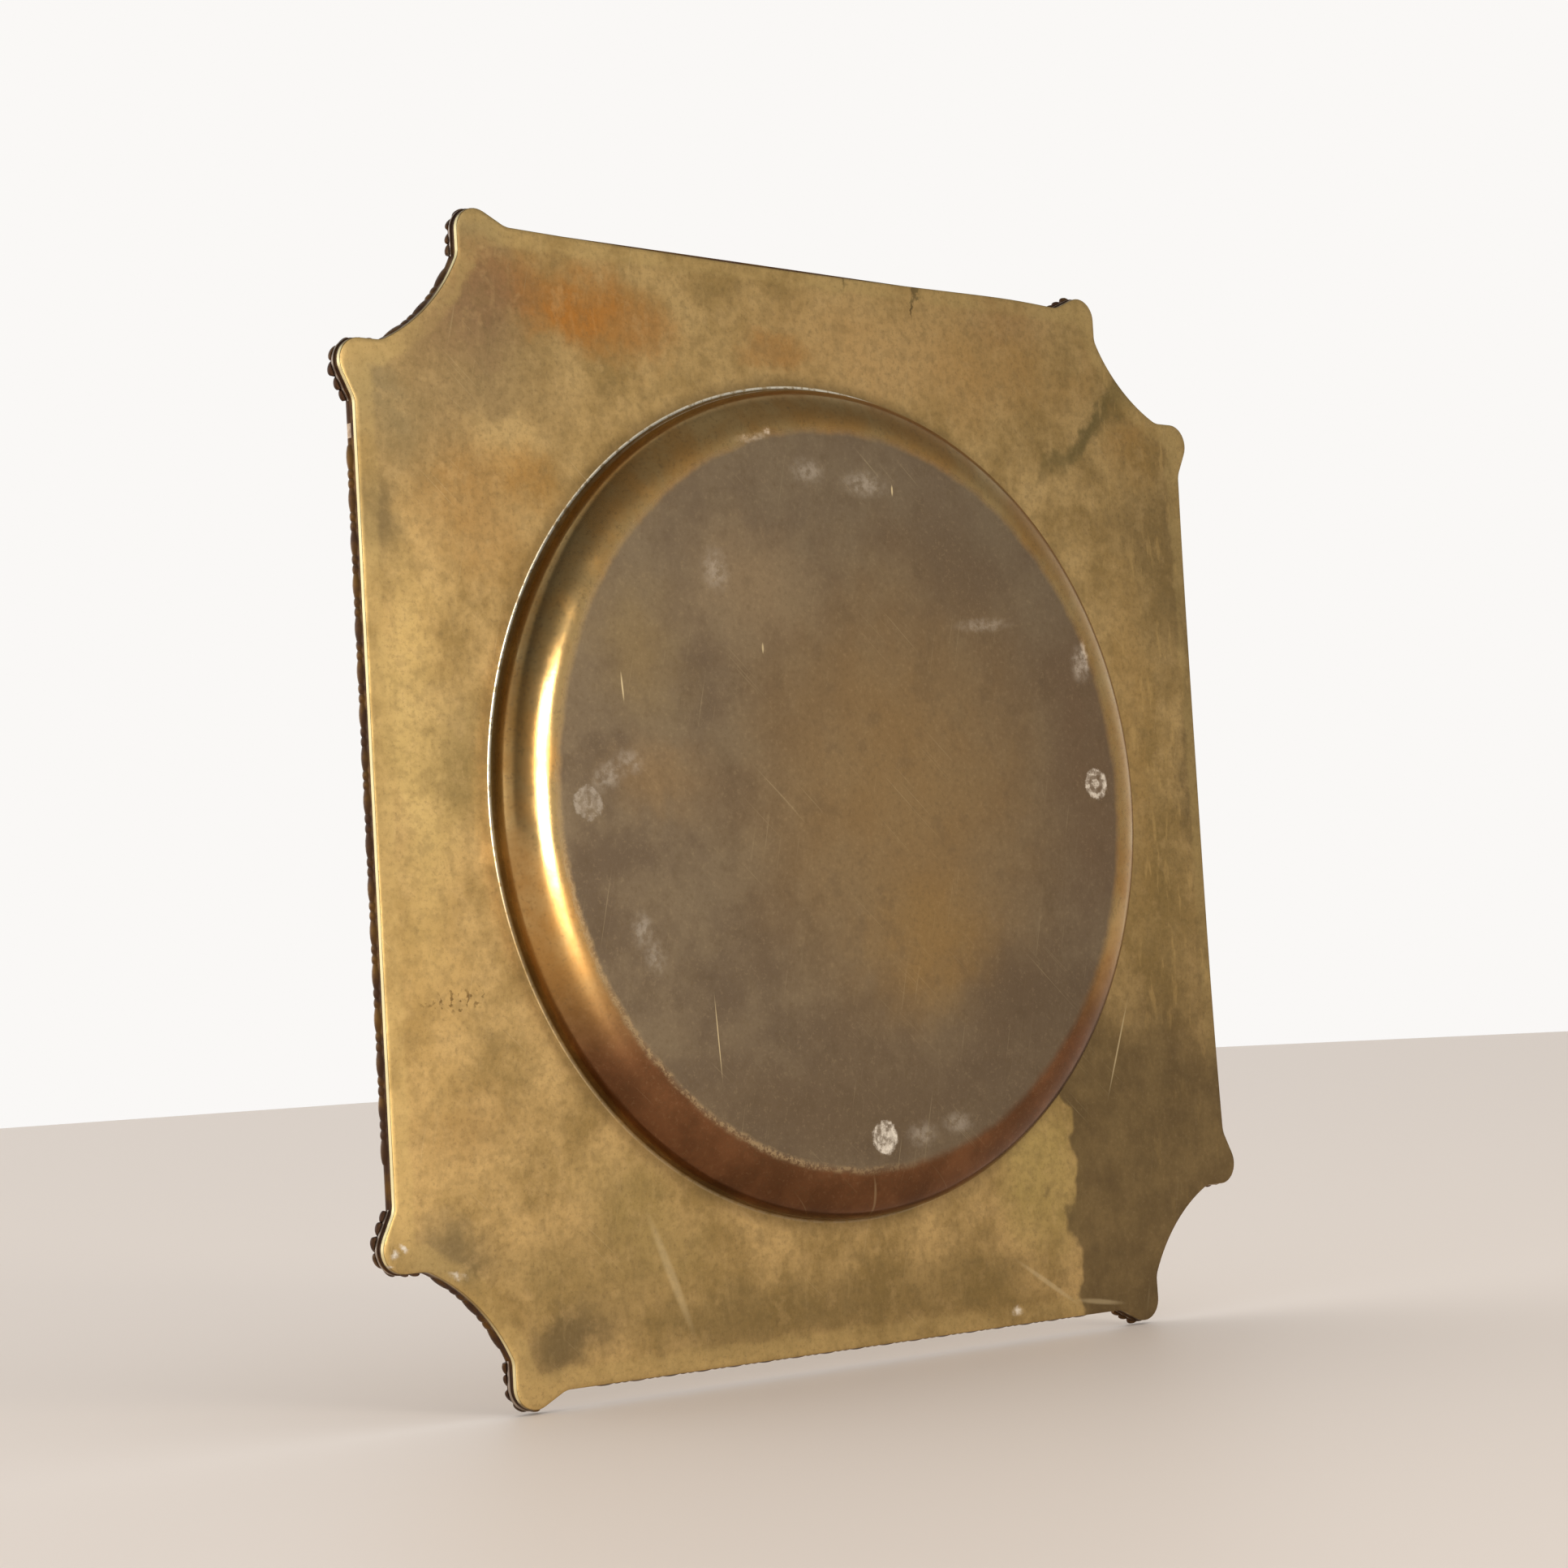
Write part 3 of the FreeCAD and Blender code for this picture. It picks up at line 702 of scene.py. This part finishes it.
def pressedSheet():
    # the outline is traced once round, then its loop is extruded inward, ring by ring, over the
    # flange, down the wall and across the base; a solidify gives the sheet its thickness
    moves = []
    earTurn = -(math.degrees(rampAngle) + 90)
    biteTurn = 2 * math.degrees(biteHalfAngle)
    for quarter in range(4):
        turn = Matrix.Rotation(math.radians(-90 * quarter), 3, "Z")
        moves += [
            ("line", turn @ earFoot),
            ("line", turn @ rampEnd),
            ("arc", turn @ earCentre, earTurn, 12, (0, 0, 1)),
            ("line", turn @ biteEnd),
            ("arc", turn @ Vector((biteCentre, biteCentre, 0)), biteTurn, 24, (0, 0, 1)),
            ("line", turn @ swapped(earFlank)),
            ("arc", turn @ swapped(earCentre), earTurn, 12, (0, 0, 1)),
            ("line", turn @ swapped(earFoot)),
        ]
    sheet = drawOutline("pressedSheet", (-earFoot.x, earFoot.y, 0), moves)
    editWhole(sheet)
    bpy.ops.mesh.remove_doubles(threshold=0.01 * mm)
    cusps = (earFoot, biteEnd, swapped(earFoot), swapped(biteEnd))

    def nearCusp(place):
        return any(math.hypot(abs(place.x) - cusp.x, abs(place.y) - cusp.y) < 0.02 * mm for cusp in cusps)

    selectVertices(sheet, nearCusp)
    bpy.ops.mesh.bevel(affect="VERTICES", offset=pressing["cusp"] * mm, segments=4)
    bpy.ops.mesh.select_all(action="SELECT")
    bpy.ops.mesh.delete(type="ONLY_FACE")
    edited = bmesh.from_edit_mesh(sheet.data)
    bpy.ops.mesh.select_mode(type="EDGE")
    for edge in edited.edges:
        edge.select_set(edge.calc_length() > 50 * mm)
    bmesh.update_edit_mesh(sheet.data)
    bpy.ops.mesh.subdivide(number_cuts=pressing["sideSteps"] - 1)
    bpy.ops.mesh.select_mode(type="VERT")
    bpy.ops.mesh.select_all(action="SELECT")

    outside = (plate["wellRadius"] + 6) * mm
    rings = [("flange", share) for share in pressing["flangeShares"]]
    rings += [("well", station) for station in wellStations()]
    before = 0
    for kind, value in rings:
        # each new ring is put where it belongs: flange rings between outline and circle
        bpy.ops.mesh.extrude_region_move(TRANSFORM_OT_translate={"value": (0, 0, 0)})
        edited = bmesh.from_edit_mesh(sheet.data)
        for vertex in [v for v in edited.verts if v.select]:
            flat = Vector((vertex.co.x, vertex.co.y, 0))
            if kind == "flange":
                circle = flat.normalized() * outside
                vertex.co = circle + (flat - circle) * (1 - value) / (1 - before)
            else:
                vertex.co = flat.normalized() * value[0] * mm + Vector((0, 0, value[1] * mm))
        bmesh.update_edit_mesh(sheet.data)
        before = value if kind == "flange" else before
    bpy.ops.mesh.merge(type="CENTER")
    bpy.ops.mesh.select_all(action="SELECT")
    bpy.ops.mesh.normals_make_consistent(inside=False)
    bpy.ops.object.mode_set(mode="OBJECT")
    return sheet


sheet = pressedSheet()
upward = sum(face.normal.z * face.area for face in sheet.data.polygons) > 0
if upward:
    sheet.data.flip_normals()
applyModifier(sheet, "SOLIDIFY", thickness=plate["sheet"] * mm, offset=-1, use_even_offset=True)
bpy.ops.object.mode_set(mode="EDIT")
edited = bmesh.from_edit_mesh(sheet.data)
bpy.ops.mesh.select_mode(type="EDGE")
bpy.ops.mesh.select_all(action="DESELECT")
for edge in edited.edges:
    # the back edge of the outline: level with the back, with the upright rim on one side of it
    rim = [abs(face.normal.z) < 0.1 and face.calc_center_median().length > 105 * mm
           for face in edge.link_faces]
    level = all(abs(vertex.co.z) < 0.01 * mm for vertex in edge.verts)
    edge.select_set(level and sum(rim) == 1)
bmesh.update_edit_mesh(sheet.data)
bpy.ops.mesh.bevel(offset=pressing["edgeRound"] * mm, segments=4, affect="EDGES")
bpy.ops.object.mode_set(mode="OBJECT")
sheet.name = "pressedBrassPlate"
sheet.data.materials.append(sheetBrass)
standUp(sheet, 0)
handFinish(sheet)
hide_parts("plate_body")
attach(sheet, "root")
print("sheet faces", len(sheet.data.polygons))


shellShape = {
    "hingeBack": 5.5,          # hinge behind the line between the ear's two corners
    "hingeHalf": 2.6,
    "flutes": 7,
    "halfAngle": 8.6,          # half the angle one flute takes up
    "tilt": 5.0,
    "reach": (13.7, 13.0, 11.4, 10.6),   # hinge to rim, middle flute outwards
    "padHeight": 1.8,          # where the fan grows out of the pad
    "fluteHeight": 2.3,        # axis of the flutes above the sheet
    "flat": 0.72,
    "padSteps": (0.95, 0.2, 0.5, 0.2, 0.55),
    "ridge": 0.35,             # fine ridge round the rim: the faces two and three steps up
    "blunt": 0.5,              # how far a flute's rounded end is shortened
    "boss": 2.0,
}
hinge = (earFoot + biteEnd) / 2 - shellAxis * shellShape["hingeBack"] * mm
hingeLeft = hinge - earChord * shellShape["hingeHalf"] * mm
hingeRight = hinge + earChord * shellShape["hingeHalf"] * mm
leftCut = Vector((-(earFoot - hingeLeft).y, (earFoot - hingeLeft).x, 0)).normalized()
rightCut = Vector(((biteEnd - hingeRight).y, -(biteEnd - hingeRight).x, 0)).normalized()

# Cast border: plain lip and ridge, a bead and reel on the outer edge, a cove and an inner fillet
border = {
    "width": 7.0,
    "lip": 0.85,
    "ridge": 0.06,
    "coreRadius": 1.3,         # roll under the beads, seen where they stop
    "coreOut": -1.15,          # its centre, measured from the sheet's edge
    "coreHeight": 1.95,
    "egg": (5.0, 1.80),        # length along the border, radius
    "reel": (2.2, 1.70),
    "valley": 0.30,            # depth of the notch between two beads
    "overlap": (0.12, 0.22),   # how far a reel and an egg run on into their neighbours
    "sidePitches": 16,
    "cornerPitches": 2,
    "innerFillet": 1.1,
    "filletWidth": 0.9,
    "solder": (1.7, 3.2),      # bright joint: gap after the last bead, length
}


def borderBar(length, steps):
    # plain moulding along x, with the sheet's edge at y = 0, outward to +y, standing on z = 0
    left = -length / 2
    lip, ridge = border["lip"] * mm, border["ridge"] * mm
    core = Vector((left, border["coreOut"] * mm, border["coreHeight"] * mm))
    radius = border["coreRadius"] * mm
    inner, fillet = -border["width"] * mm, border["innerFillet"] * mm
    startAngle, endAngle = math.radians(-42), math.radians(142)
    arcStart = core + Vector((0, math.cos(startAngle), math.sin(startAngle))) * radius
    arcEnd = core + Vector((0, math.cos(endAngle), math.sin(endAngle))) * radius
    filletEdge = inner + border["filletWidth"] * mm
    bar = drawOutline("borderBar", (left, inner, 0), [
        ("line", (left, 0, 0)),
        ("line", (left, 0, lip)),
        ("line", (left, ridge, lip + 0.12 * mm)),
        ("line", (left, ridge, lip + 0.25 * mm)),
        ("line", arcStart),
        ("arc", core, math.degrees(endAngle - startAngle), 9, (1, 0, 0)),
        ("line", arcEnd + Vector((0, -0.7, -0.62)) * mm),
        ("line", (left, filletEdge + 1.5 * mm, fillet - 0.15 * mm)),
        ("line", (left, filletEdge + 0.3 * mm, fillet - 0.42 * mm)),
        ("line", (left, filletEdge, fillet)),
        ("line", (left, filletEdge - 0.25 * mm, fillet + 0.18 * mm)),
        ("line", (left, inner + 0.25 * mm, fillet + 0.18 * mm)),
        ("line", (left, inner, fillet - 0.1 * mm)),
    ])
    editWhole(bar)
    for step in range(steps):
        bpy.ops.mesh.extrude_region_move(TRANSFORM_OT_translate={"value": (length / steps, 0, 0)})
    bpy.ops.mesh.select_all(action="SELECT")
    bpy.ops.mesh.normals_make_consistent(inside=False)
    bpy.ops.object.mode_set(mode="OBJECT")
    return bar


def oneBead(place, length, radius):
    # an ellipsoid that has narrowed by the valley's depth where it meets its neighbour
    share = 1 - ((radius - border["valley"]) / radius) ** 2
    middle = (place * mm, border["coreOut"] * mm, border["coreHeight"] * mm)
    pickNothing()
    bpy.ops.mesh.primitive_uv_sphere_add(segments=14, ring_count=12, radius=1, location=middle,
                                         rotation=(0, math.radians(90), 0),
                                         scale=(radius * mm, radius * mm, length / 2 / math.sqrt(share) * mm))
    bead = bpy.context.object
    bpy.ops.object.transform_apply(location=True, rotation=True, scale=True)
    reach = length / 2 + border["overlap"][1 if radius == border["egg"][1] else 0]
    for way in (-1, 1):
        cutAway(bead, ((place + way * reach) * mm, 0, 0), (way, 0, 0))
    return bead


def beadChain(pitches):
    # egg, reel, reel, egg ... egg, centred on x = 0
    eggLength, eggRadius = border["egg"]
    reelLength, reelRadius = border["reel"]
    pitch = eggLength + 2 * reelLength
    first = -pitches * pitch / 2
    unit = [oneBead(first, eggLength, eggRadius),
            oneBead(first + eggLength / 2 + reelLength / 2, reelLength, reelRadius),
            oneBead(first + eggLength / 2 + reelLength * 1.5, reelLength, reelRadius)]
    pickNothing()
    for bead in unit:
        bead.select_set(True)
    bpy.context.view_layer.objects.active = unit[0]
    bpy.ops.object.join()
    chain = unit[0]
    applyModifier(chain, "ARRAY", count=pitches, use_relative_offset=False, use_constant_offset=True,
                  constant_offset_displace=(pitch * mm, 0, 0))
    last = oneBead(-first, eggLength, eggRadius)
    pickOnly(chain)
    last.select_set(True)
    bpy.ops.object.join()
    return chain, (pitches * pitch + eggLength) / 2


def borderRun(name, pitches, halfLength, bendRadius=None):
    chain, chainEnd = beadChain(pitches)
    bar = borderBar(2 * halfLength, 24 if bendRadius else 1)
    bar.name = name
    if bendRadius:
        for piece in (bar, chain):
            width = piece.dimensions.x
            applyModifier(piece, "SIMPLE_DEFORM", deform_method="BEND", deform_axis="Z",
                          angle=width / bendRadius)
    applyModifier(bar, "BOOLEAN", operation="UNION", solver="EXACT", object=chain, use_self=True)
    bpy.data.objects.remove(chain, do_unlink=True)
    bar.location.z = faceHeight
    bpy.ops.object.transform_apply(location=True, rotation=False, scale=False)
    return bar, chainEnd * mm


print("border")
sideRun, beadEnd = borderRun("sideRun", border["sidePitches"], (plate["earStart"] + 4) * mm)
sideRun.location.y = earFoot.y
pickOnly(sideRun)
bpy.ops.object.transform_apply(location=True, rotation=False, scale=False)
cutAway(sideRun, earFoot, -leftCut)
cutAway(sideRun, Vector((-earFoot.x, earFoot.y, 0)), Vector((leftCut.x, -leftCut.y, 0)))

# the joint left bright at one end of each side: two cuts mark it off, and its outer faces change metal
jointGap, jointLength = (value * mm for value in border["solder"])
jointEnds = (-beadEnd - jointGap - jointLength, -beadEnd - jointGap)
bpy.ops.object.mode_set(mode="EDIT")
for end in jointEnds:
    bpy.ops.mesh.select_all(action="SELECT")
    bpy.ops.mesh.bisect(plane_co=(end, 0, 0), plane_no=(1, 0, 0))
bpy.ops.object.mode_set(mode="OBJECT")
sideRun.data.materials.append(castBrass)
sideRun.data.materials.append(solder)
for face in sideRun.data.polygons:
    inJoint = jointEnds[0] < face.center.x < jointEnds[1]
    outer = face.normal.y > 0.35 and face.center.z > faceHeight + 1.0 * mm
    face.material_index = 1 if inJoint and outer else 0

cornerHalf = biteRadius * biteHalfAngle + 3 * mm
cornerRun, _ = borderRun("cornerRun", border["cornerPitches"], cornerHalf, biteRadius)
cornerRun.rotation_euler.z = math.radians(-45)
cornerRun.location = (biteDeep, biteDeep, 0)
pickOnly(cornerRun)
bpy.ops.object.transform_apply(location=True, rotation=True, scale=False)
cutAway(cornerRun, biteEnd, -rightCut)
cutAway(cornerRun, Vector((biteEnd.y, biteEnd.x, 0)), -Vector((rightCut.y, rightCut.x, 0)))
cornerRun.data.materials.append(castBrass)
print("side run", len(sideRun.data.polygons), "corner run", len(cornerRun.data.polygons))


def flute(turn, reach):
    # a ball whose hinge side is drawn out and narrowed to a point at the hinge
    taper = math.sin(math.radians(shellShape["halfAngle"]))
    distance = reach / (1 + taper * shellShape["blunt"]) * mm
    size = distance * taper
    pickNothing()
    bpy.ops.mesh.primitive_uv_sphere_add(segments=20, ring_count=16, radius=size, location=(0, 0, 0),
                                         rotation=(math.radians(-90), 0, 0))
    piece = bpy.context.object
    bpy.ops.object.transform_apply(location=True, rotation=True, scale=True)
    bpy.ops.object.mode_set(mode="EDIT")
    selectVertices(piece, lambda place: place.y < -0.05 * size)
    rise = math.tan(math.radians(shellShape["tilt"])) * distance
    draw = distance - shellShape["hingeHalf"] * 0.3 * mm - size
    bpy.ops.transform.resize(value=(0.12, 0.12, 0.12), center_override=(0, 0, 0))
    bpy.ops.transform.translate(value=(0, -draw - size * 0.9, rise))
    selectVertices(piece, lambda place: place.y > 0.05 * size)
    bpy.ops.transform.resize(value=(1, shellShape["blunt"], 1), center_override=(0, 0, 0))
    bpy.ops.object.mode_set(mode="OBJECT")
    piece.location = (0, distance, 0)
    bpy.ops.object.transform_apply(location=True, rotation=False, scale=False)
    axisAngle = math.atan2(shellAxis.y, shellAxis.x) - math.radians(90)
    piece.rotation_euler.z = axisAngle + math.radians(turn)
    piece.scale.z = shellShape["flat"]
    piece.location = hinge + Vector((0, 0, faceHeight + shellShape["fluteHeight"] * mm))
    bpy.ops.object.transform_apply(location=True, rotation=True, scale=True)
    cutAway(piece, (0, 0, faceHeight + shellShape["padHeight"] * mm), (0, 0, -1))
    return piece


def shellPad():
    angle = math.degrees(rampAngle) + 90
    pad = drawOutline("shellPad", earFoot + Vector((0, 0, faceHeight)), [
        ("line", rampEnd + Vector((0, 0, faceHeight))),
        ("arc", earCentre + Vector((0, 0, faceHeight)), -angle, 12, (0, 0, 1)),
        ("line", biteEnd + Vector((0, 0, faceHeight))),
        ("line", hingeRight + Vector((0, 0, faceHeight))),
        ("line", hingeLeft + Vector((0, 0, faceHeight))),
    ])
    editWhole(pad)
    for step in shellShape["padSteps"]:
        bpy.ops.mesh.extrude_region_move(TRANSFORM_OT_translate={"value": (0, 0, step * mm)})
    bpy.ops.mesh.select_all(action="SELECT")
    bpy.ops.mesh.normals_make_consistent(inside=False)
    ridgeLow = faceHeight + sum(shellShape["padSteps"][:2]) * mm
    ridgeHigh = faceHeight + sum(shellShape["padSteps"][:3]) * mm
    selectVertices(pad, lambda place: ridgeLow - 0.01 * mm < place.z < ridgeHigh + 0.01 * mm)
    bpy.ops.transform.shrink_fatten(value=shellShape["ridge"] * mm)
    bpy.ops.object.mode_set(mode="OBJECT")
    return pad


def shell():
    spacing = 2 * math.degrees(math.atan2((biteEnd - earFoot).length / 2,
                                          shellShape["hingeBack"] * mm)) / shellShape["flutes"]
    middle = shellShape["flutes"] // 2
    fan = flute(0, shellShape["reach"][0])
    rest = [flute((index - middle) * spacing, shellShape["reach"][abs(index - middle)])
            for index in range(shellShape["flutes"]) if index != middle]
    pickNothing()
    bpy.ops.mesh.primitive_uv_sphere_add(segments=20, ring_count=12, radius=shellShape["boss"] * mm,
                                         location=hinge + shellAxis * shellShape["hingeHalf"] * 0.4 * mm
                                         + Vector((0, 0, faceHeight + shellShape["padHeight"] * mm)))
    boss = bpy.context.object
    bpy.ops.object.transform_apply(location=True, rotation=True, scale=True)
    cutAway(boss, (0, 0, faceHeight + shellShape["padHeight"] * mm), (0, 0, -1))
    fuse(fan, rest + [boss])
    cutAway(fan, earFoot, leftCut)
    cutAway(fan, biteEnd, rightCut)
    pad = shellPad()
    fuse(pad, [fan])
    return pad


print("shells")
master = shell()
print("shell", len(master.data.polygons))

for quarter in range(4):
    side = copyOf(sideRun, "beadedSide_" + sideNames[quarter])
    standUp(side, quarter)
    finishPiece(side, "border_strip_" + sideNames[quarter])
    corner = copyOf(cornerRun, "beadedCorner_" + cornerNames[quarter])
    standUp(corner, quarter)
    finishPiece(corner, "corner_strip_" + cornerNames[quarter])
    for mirrored, name in zip((False, True), shellNames[quarter]):
        ear = copyOf(master, "castShell_" + name)
        standUp(ear, quarter, mirrored)
        ear.data.materials.append(shellBrass)
        finishPiece(ear, "shell_" + name)
for leftover in (sideRun, cornerRun, master):
    bpy.data.objects.remove(leftover, do_unlink=True)

# Soft studio: what the brass mirrors goes from dim to bright as the direction turns round the
# plate, and the open background is plain and pale
print("stage")
studio = {
    "floor": "E2D6CB", "backdrop": "FAF8F6", "window": "FFFAF0",
    # angle round the plate in degrees, 0 behind it and + towards +X, and the room's brightness there
    "room": [(-180, 1.3), (-100, 0.8), (-60, 0.50), (-34, 0.62),
             (10, 0.38), (48, 0.24), (70, 0.7), (125, 1.7)],
    "windowWay": (-0.06, 0.99, 0.10), "windowDistance": 2.0, "windowSize": (0.55, 0.62), "windowPower": 21,
}
pickNothing()
bpy.ops.mesh.primitive_plane_add(size=8, location=(0, 0, 0))
floor = bpy.context.object
floor.name = "floor"
material, tree = newMaterial("paleFloor")
addNode(tree, "OutputMaterial", addNode(tree, "BsdfPrincipled", studio["floor"], Roughness=0.55))
floor.data.materials.append(material)

world = bpy.data.worlds.new("studio")
bpy.context.scene.world = world
world.use_nodes = True
tree = world.node_tree
tree.nodes.clear()
direction = addNode(tree, "TexCoord").outputs["Generated"]
way = addNode(tree, "SeparateXYZ", direction).outputs
turnAngle = addNode(tree, "Math.ARCTAN2", way["X"], way["Y"])
turnShare = addNode(tree, "Math.MULTIPLY_ADD", turnAngle, 0.5 / math.pi, 0.5)
around = addNode(tree, "ValToRGB", turnShare)
stops = around.color_ramp
stops.interpolation = "EASE"
while len(stops.elements) < len(studio["room"]):
    stops.elements.new(0.5)
for element, (angle, level) in zip(stops.elements, studio["room"]):
    element.position = angle / 360 + 0.5
    element.color = (level, level, level, 1)
above = addNode(tree, "MapRange", way["Z"], 0.05, 0.6, 1.0, 0.45)
below = addNode(tree, "MapRange", way["Z"], -0.5, 0.0, 0.6, 1.0)
level = addNode(tree, "Math.MULTIPLY", addNode(tree, "Math.MULTIPLY", around, above), below)
room = addNode(tree, "Background", level, 1.0)
backdrop = addNode(tree, "Background", studio["backdrop"], 1.0)
rays = addNode(tree, "LightPath").outputs
plain = addNode(tree, "Math.MAXIMUM", rays["Is Camera Ray"], rays["Is Diffuse Ray"])
addNode(tree, "OutputWorld", addNode(tree, "MixShader", plain, room, backdrop))


windowData = bpy.data.lights.new("window", "AREA")
windowData.shape = "RECTANGLE"
windowData.size, windowData.size_y = studio["windowSize"]
windowData.energy = studio["windowPower"]
windowData.color = hexColour(studio["window"])[:3]
window = bpy.data.objects.new("window", windowData)
windowWay = Vector(studio["windowWay"]) * studio["windowDistance"]
window.location = Vector((0, 0, centreZ)) + windowWay
window.rotation_euler = (-windowWay).to_track_quat("-Z", "Y").to_euler()
bpy.context.collection.objects.link(window)

# Camera: behind the plate, to its left as it is seen from the front, low and held a little crooked.
# Angles in degrees: "stands" is the way from the plate to the camera, "looks" the way it points
view = {"distance": 785.3, "stands": (41.19, -3.94), "looks": (139.64, 4.285), "roll": -3.377, "lens": 74.9}
around, rise = (math.radians(angle) for angle in view["stands"])
outward = Vector((math.sin(around) * math.cos(rise), math.cos(around) * math.cos(rise), math.sin(rise)))
turn, tip = (math.radians(angle) for angle in view["looks"])
cameraData = bpy.data.cameras.new("camera")
camera = bpy.data.objects.new("camera", cameraData)
bpy.context.collection.objects.link(camera)
camera.matrix_world = (Matrix.Translation(outward * view["distance"] * mm + Vector((0, backY, centreZ)))
                       @ Matrix.Rotation(turn, 4, "Z") @ Matrix.Rotation(math.radians(90) + tip, 4, "X")
                       @ Matrix.Rotation(math.radians(view["roll"]), 4, "Z"))
cameraData.lens = view["lens"]
cameraData.sensor_width = 36
bpy.context.scene.camera = camera
bpy.context.scene.view_settings.view_transform = "Standard"
